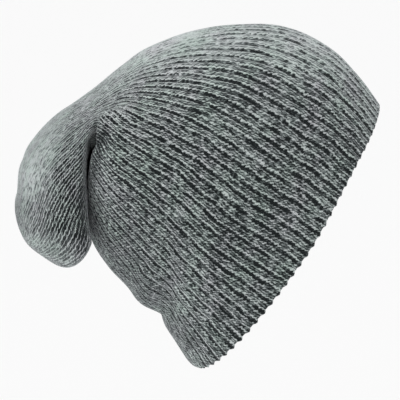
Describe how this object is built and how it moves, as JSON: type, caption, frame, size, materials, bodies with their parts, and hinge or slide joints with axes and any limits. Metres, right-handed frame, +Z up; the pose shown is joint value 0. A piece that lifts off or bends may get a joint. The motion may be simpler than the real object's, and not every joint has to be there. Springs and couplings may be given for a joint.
{
  "type": "slouchy beanie",
  "caption": "Long slouchy rib-knit beanie as worn, open at the mouth, with its soft crown folded over and hanging at the back.",
  "frame": {"origin": "middle of the mouth, halfway between the forehead edge and the nape edge, where the hidden head holds the beanie", "axes": "+Z up as worn, +X towards the forehead, -Y towards the viewer"},
  "size_m": [0.2293, 0.165, 0.2139],
  "materials": {
    "marl_knit": "soft matte grey marl wool"
  },
  "bodies": {
    "root": {"rib_knit_shell": "marl_knit"}
  },
  "joints": []
}
